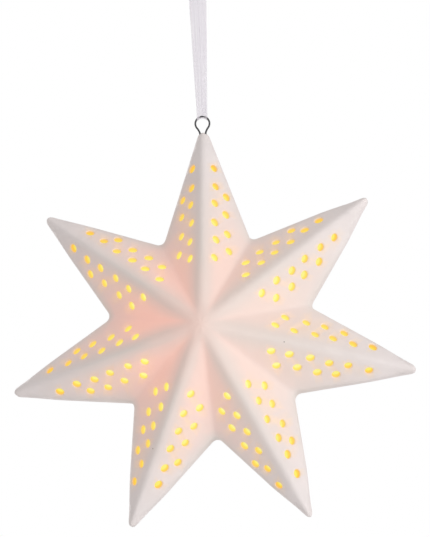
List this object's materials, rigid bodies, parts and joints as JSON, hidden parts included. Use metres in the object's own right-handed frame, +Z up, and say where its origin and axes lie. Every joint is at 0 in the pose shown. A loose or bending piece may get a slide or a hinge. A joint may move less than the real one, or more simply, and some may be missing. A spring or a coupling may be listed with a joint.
{
  "type": "hanging led star ornament",
  "caption": "Hollow pleated porcelain star with punched light holes, hung by a wire eye on a sheer ribbon and lit by a battery LED lamp plugged into its flat back.",
  "frame": {"origin": "the point of the ribbon's hanging loop that lies on the hook, just under the knot", "axes": "+Z up along the ribbon, +Y out of the star's flat back, -Y out of its pleated front, +X to the right seen from the front"},
  "size_m": [0.1516, 0.0434, 0.2293],
  "materials": {
    "bisque": "unglazed matte porcelain",
    "eye_wire": "drawn wire, dark grey",
    "organza": "sheer woven organza",
    "lamp_plastic": "fine texture",
    "silicone": "matte silicone",
    "board": "solder mask",
    "led_resin": "clear tinted resin",
    "tinned_metal": "tinned",
    "spring_metal": "nickel plated",
    "black_plastic": "fine texture",
    "cell_steel": "satin"
  },
  "bodies": {
    "ribbon": {"ribbon_front_strand": "organza", "ribbon_back_strand": "organza", "ribbon_knot": "organza"},
    "star": {"star_shell": "bisque", "wire_eye": "eye_wire"},
    "lamp": {"lamp_housing": "lamp_plastic", "lamp_front_cap": "lamp_plastic", "grip_ring": "silicone", "circuit_board": "board", "led": "led_resin", "led_leads": "tinned_metal", "resistor": "black_plastic", "positive_contact": "spring_metal", "negative_spring": "spring_metal", "coin_cell": "cell_steel", "switch_body": "cell_steel", "switch_pins": "tinned_metal"},
    "door": {"battery_door": "lamp_plastic"},
    "screw": {"door_screw": "cell_steel"},
    "slider": {"switch_slider": "black_plastic"}
  },
  "joints": [
    {"name": "star_swing", "type": "hinge", "parent": "ribbon", "child": "star", "pos_m": [0, 0, -0.06], "axis": [1, 0, 0], "range_deg": [-50, 50]},
    {"name": "lamp_pull", "type": "slide", "parent": "star", "child": "lamp", "axis": [0, 0.9987, 0.0506], "range_m": [0, 0.025]},
    {"name": "door_lift", "type": "slide", "parent": "lamp", "child": "door", "axis": [0, 0.9987, 0.0506], "range_m": [0, 0.012]},
    {"name": "screw_turn", "type": "hinge", "parent": "door", "child": "screw", "pos_m": [-0.00199, 0.00945, -0.15568], "axis": [0, 0.9987, 0.0506], "continuous": true},
    {"name": "switch_slide", "type": "slide", "parent": "lamp", "child": "slider", "axis": [0, -0.0506, 0.9987], "range_m": [0, 0.002]}
  ]
}
